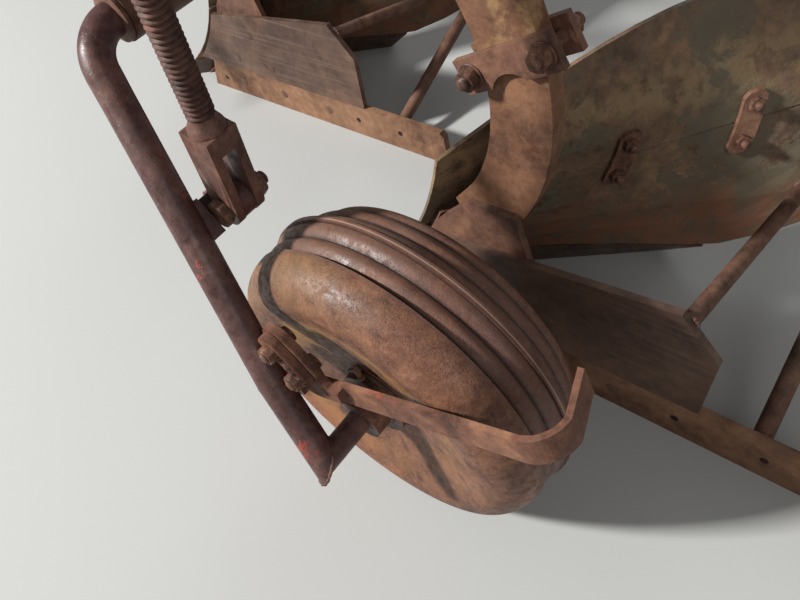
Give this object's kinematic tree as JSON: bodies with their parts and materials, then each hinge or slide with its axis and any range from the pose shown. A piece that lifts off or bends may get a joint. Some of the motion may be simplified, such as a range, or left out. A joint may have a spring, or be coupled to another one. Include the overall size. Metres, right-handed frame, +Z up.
{
  "type": "mouldboard plough",
  "caption": "Mounted mouldboard plough in rusted steel with a screw-set depth wheel, lever arm and scraper",
  "frame": {"origin": "on the ground under the middle of the plough's box", "axes": "+X the way it travels, towards the hitch; +Y the unploughed land side; +Z up"},
  "size_m": [2.052, 1.467, 1.2],
  "materials": {
    "beam_steel": "worn paint gone to light orange-brown rust",
    "frame_steel": "dull brown rust with traces of paint",
    "board_steel": "old green paint on the back, worn through to brown",
    "ground_steel": "soil-worn steel with a smooth brown film",
    "wheel_steel": "pitted brown rust with yellow paint left on the dish",
    "arm_steel": "dark brown with traces of red paint",
    "screw_steel": "dark greased steel"
  },
  "bodies": {
    "plough": {"beam_rear": "beam_steel", "beam_front": "beam_steel", "cross_member_front": "frame_steel", "cross_member_rear": "frame_steel", "brace_diagonal": "frame_steel", "headstock_left": "frame_steel", "headstock_right": "frame_steel", "headstock_brace": "frame_steel", "hitch_shaft": "frame_steel", "hitch_bracket_left": "frame_steel", "hitch_bracket_right": "frame_steel", "rear_frog": "frame_steel", "rear_share": "ground_steel", "rear_mouldboard_lower": "board_steel", "rear_mouldboard_upper": "board_steel", "rear_joining_strips": "frame_steel", "rear_landside": "ground_steel", "rear_landside_bar": "ground_steel", "rear_cross_stay": "frame_steel", "rear_heel_stay": "frame_steel", "rear_coulter_clamp": "frame_steel", "front_frog": "frame_steel", "front_share": "ground_steel", "front_mouldboard_lower": "board_steel", "front_mouldboard_upper": "board_steel", "front_joining_strips": "frame_steel", "front_landside": "ground_steel", "front_landside_bar": "ground_steel", "front_cross_stay": "frame_steel", "front_heel_stay": "frame_steel", "front_coulter_clamp": "frame_steel", "wheel_bracket": "frame_steel"},
    "wheel_arm": {"crank_arm": "arm_steel", "pivot_collar": "arm_steel", "stub_collar": "arm_steel", "scraper_bracket": "arm_steel", "scraper_strap": "arm_steel", "fork_pin": "arm_steel"},
    "depth_wheel": {"wheel_shell_outer": "wheel_steel", "wheel_shell_inner": "wheel_steel", "wheel_hub": "wheel_steel"},
    "screw_trunnion": {"trunnion_block": "screw_steel", "crank_nut": "screw_steel"},
    "screw_rod": {"depth_screw": "screw_steel"}
  },
  "joints": [
    {"name": "arm_pivot", "type": "hinge", "parent": "plough", "child": "wheel_arm", "pos_m": [-0.138, 0.39285, 0.693], "axis": [0, 1, 0], "range_deg": [0, 26]},
    {"name": "wheel_axle", "type": "hinge", "parent": "wheel_arm", "child": "depth_wheel", "pos_m": [-0.466, 0.52285, 0.246], "axis": [0, 1, 0], "continuous": true},
    {"name": "trunnion_pins", "type": "hinge", "parent": "plough", "child": "screw_trunnion", "pos_m": [-0.32738, 0.56685, 0.89621], "axis": [0, 1, 0], "range_deg": [0, 12]},
    {"name": "screw_travel", "type": "slide", "parent": "screw_trunnion", "child": "screw_rod", "axis": [-0.0958, 0, 0.9954], "range_m": [0, 0.1]}
  ],
  "couplings": [
    {"joint": "trunnion_pins", "follows": "arm_pivot", "ratio": 0.422},
    {"joint": "screw_travel", "follows": "arm_pivot", "m_per_rad": 0.186}
  ]
}
